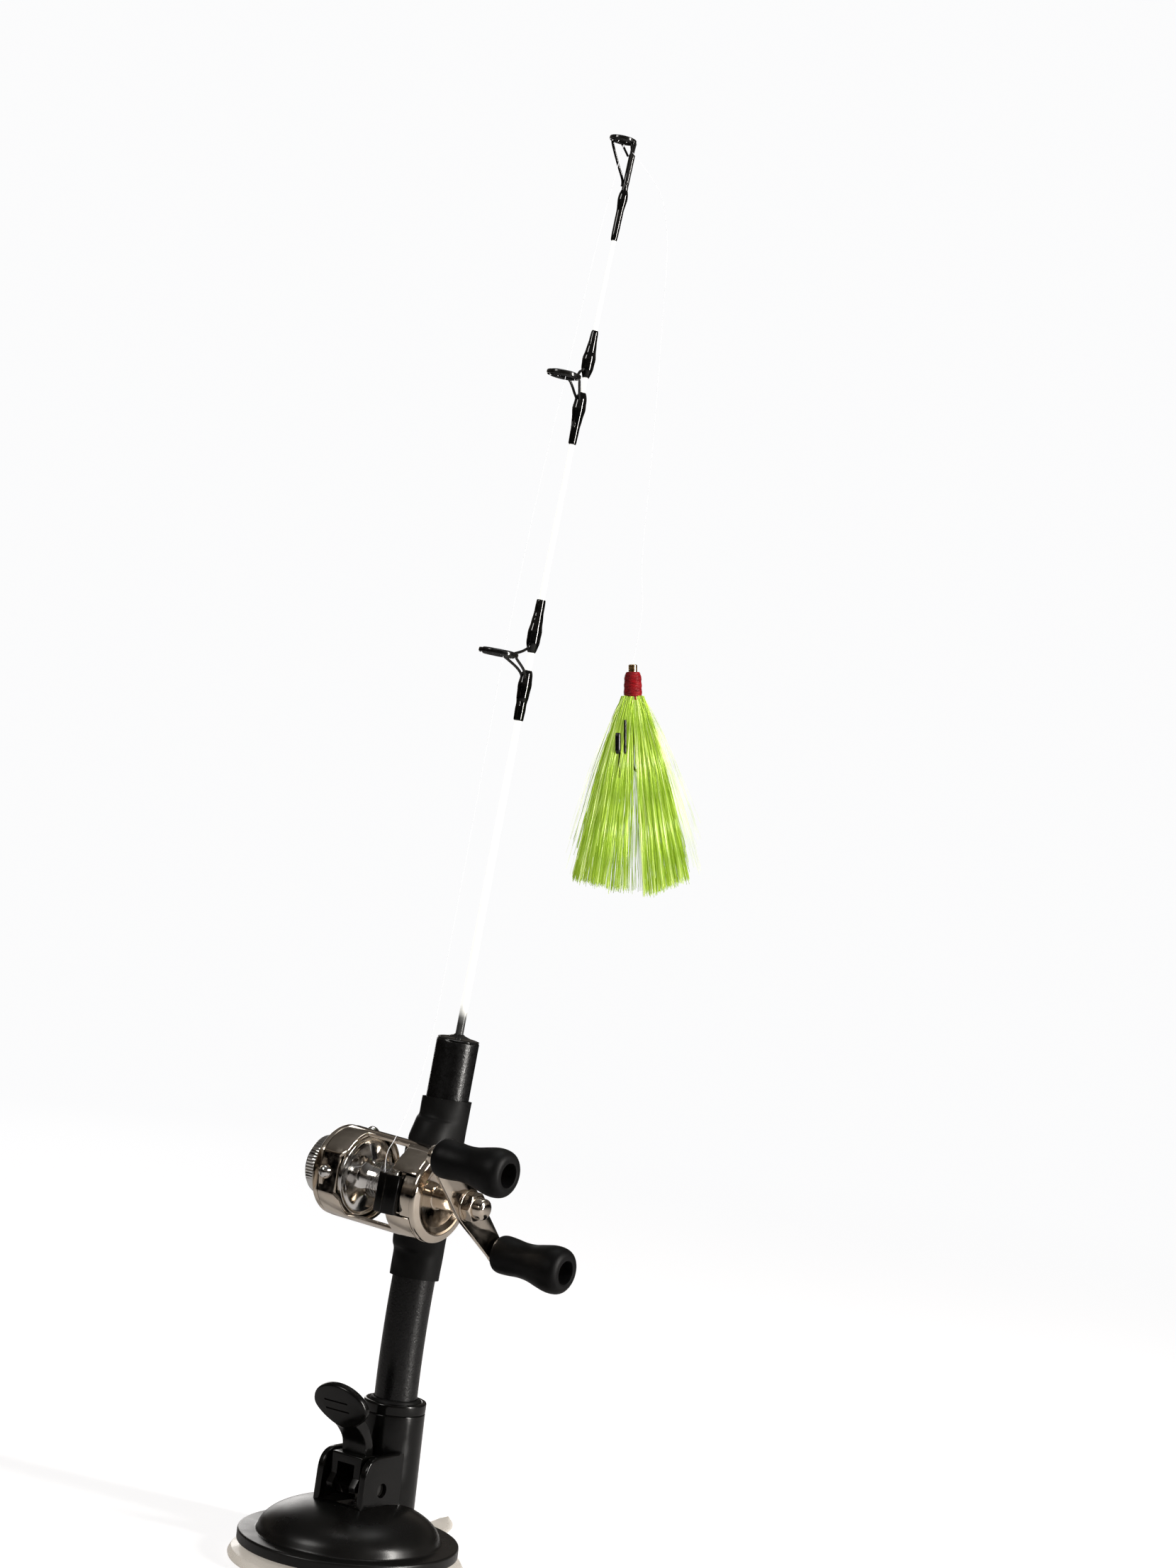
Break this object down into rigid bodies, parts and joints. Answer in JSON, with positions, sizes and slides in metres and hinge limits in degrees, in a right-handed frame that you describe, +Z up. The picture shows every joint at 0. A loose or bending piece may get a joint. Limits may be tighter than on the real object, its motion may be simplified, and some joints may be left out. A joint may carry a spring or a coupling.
{
  "type": "ice fishing rod in a suction holder",
  "caption": "Short ice fishing rod with a small direct-drive reel, standing in a suction-cup holder with a lever, a hair jig hanging on the line from its tip",
  "frame": {"origin": "centre of the suction pad's flat underside, where it meets the surface it grips", "axes": "+Z up from the gripped surface; -Y towards the front, where the lever and the reel are; +X towards the reel's crank"},
  "size_m": [0.0966, 0.0915, 0.4224],
  "materials": {
    "pad": "translucent soft plastic, slightly hazy",
    "dome": "satin black moulded plastic",
    "holder": "glossy black moulded plastic",
    "steel": "plain steel",
    "seal": "soft black rubber",
    "handle": "satin black with a fine pebble texture",
    "blank": "milky white glass fibre",
    "epoxy": "black thread under gloss epoxy, and black wire",
    "ceramic": "polished black ceramic",
    "clear": "clear glue over the blank",
    "line": "clear nylon monofilament",
    "nickel": "polished nickel plate",
    "bright": "bright chrome plate",
    "spool": "polished aluminium",
    "knob": "soft matte black rubber",
    "brass": "turned brass",
    "thread": "dark red tying thread",
    "hair": "lime green tinsel hair"
  },
  "bodies": {
    "base": {"suction_pad": "pad", "base_dome": "dome", "holder_body": "holder", "socket_collar": "holder", "socket_seal": "seal", "pivot_pin": "steel", "holder_screw_left": "steel", "holder_screw_right": "steel"},
    "stem": {"pad_stem": "steel"},
    "lever": {"cam_lever": "holder", "link_pin": "steel"},
    "plug": {"handle_end_plug": "seal"},
    "rod": {"handle_tube": "handle", "rod_blank": "blank", "blank_bushing": "seal", "handle_top_glue": "clear", "low_guide_frame": "epoxy", "low_guide_ring": "ceramic", "low_guide_upper_wrap": "epoxy", "low_guide_lower_wrap": "epoxy", "mid_guide_frame": "epoxy", "mid_guide_ring": "ceramic", "mid_guide_upper_wrap": "epoxy", "mid_guide_lower_wrap": "epoxy", "tip_top_frame": "epoxy", "tip_ring": "ceramic", "tip_wrap": "epoxy", "reel_foot": "nickel", "upper_sleeve": "seal", "lower_sleeve": "seal", "fishing_line": "line", "reel_frame": "nickel", "foot_rivet_low": "steel", "foot_rivet_high": "steel", "left_side_cap": "nickel", "side_screw_front": "bright", "side_screw_top": "bright", "side_screw_bottom": "bright", "left_bushing": "brass", "gear_cover": "nickel", "crank_bushing": "brass"},
    "spool": {"spool": "spool", "line_coils": "line"},
    "clutch": {"clutch_plate": "brass"},
    "tension": {"tension_knob": "bright"},
    "thumb": {"thumb_key": "holder"},
    "crank": {"crank_arm": "nickel", "crank_shaft": "steel", "crank_washer": "nickel", "acorn_nut": "bright", "knob_rivet_a": "nickel", "knob_rivet_b": "nickel"},
    "knob_a": {"crank_knob_a": "knob"},
    "knob_b": {"crank_knob_b": "knob"},
    "leader": {"leader_line": "line"},
    "jig": {"jig_tube": "brass", "jig_thread": "thread", "jig_skirt": "hair", "jig_hook": "steel"}
  },
  "joints": [
    {"name": "lever_tip", "type": "hinge", "parent": "base", "child": "lever", "pos_m": [0, 0.0016, 0.0226], "axis": [1, 0, 0], "range_deg": [0, 42]},
    {"name": "stem_lift", "type": "slide", "parent": "base", "child": "stem", "axis": [0, 0, 1], "range_m": [0, 0.0024]},
    {"name": "handle_lift", "type": "slide", "parent": "base", "child": "plug", "axis": [0, 0, 1], "range_m": [0, 0.03]},
    {"name": "handle_swivel", "type": "hinge", "parent": "plug", "child": "rod", "pos_m": [0, 0.0151, 0.04], "axis": [0, 0, 1], "continuous": true},
    {"name": "crank_spin", "type": "hinge", "parent": "rod", "child": "crank", "pos_m": [0.02678, -0.00449, 0.11014], "axis": [0.9983, -0.0012, -0.0588], "continuous": true},
    {"name": "spool_spin", "type": "hinge", "parent": "rod", "child": "spool", "pos_m": [0.00282, -0.00446, 0.11155], "axis": [0.9983, -0.0012, -0.0588], "continuous": true},
    {"name": "clutch_shift", "type": "slide", "parent": "spool", "child": "clutch", "axis": [-0.9983, 0.0012, 0.0588], "range_m": [0, 0.001]},
    {"name": "knob_a_spin", "type": "hinge", "parent": "crank", "child": "knob_a", "pos_m": [0.04359, -0.02223, 0.12384], "axis": [0.9983, -0.0012, -0.0588], "continuous": true},
    {"name": "knob_b_spin", "type": "hinge", "parent": "crank", "child": "knob_b", "pos_m": [0.04191, 0.01321, 0.09456], "axis": [0.9983, -0.0012, -0.0588], "continuous": true},
    {"name": "tension_turn", "type": "hinge", "parent": "rod", "child": "tension", "pos_m": [-0.01914, -0.00444, 0.11284], "axis": [0.9983, -0.0012, -0.0588], "range_deg": [-150, 150]},
    {"name": "thumb_press", "type": "slide", "parent": "rod", "child": "thumb", "axis": [-0.0012, 0.9992, -0.0404], "range_m": [0, 0.0012]},
    {"name": "line_swing", "type": "hinge", "parent": "rod", "child": "leader", "pos_m": [0.02326, 0.02508, 0.42134], "axis": [-0.5664, 0.8241, 0], "range_deg": [-12, 2]},
    {"name": "jig_swing", "type": "hinge", "parent": "leader", "child": "jig", "pos_m": [0.0399, 0.03653, 0.26864], "axis": [-0.5664, 0.8241, 0], "range_deg": [-14, 6]}
  ],
  "couplings": [
    {"joint": "stem_lift", "follows": "lever_tip", "m_per_rad": 0.00324},
    {"joint": "spool_spin", "follows": "crank_spin", "ratio": 1},
    {"joint": "clutch_shift", "follows": "thumb_press", "ratio": 0.83}
  ]
}
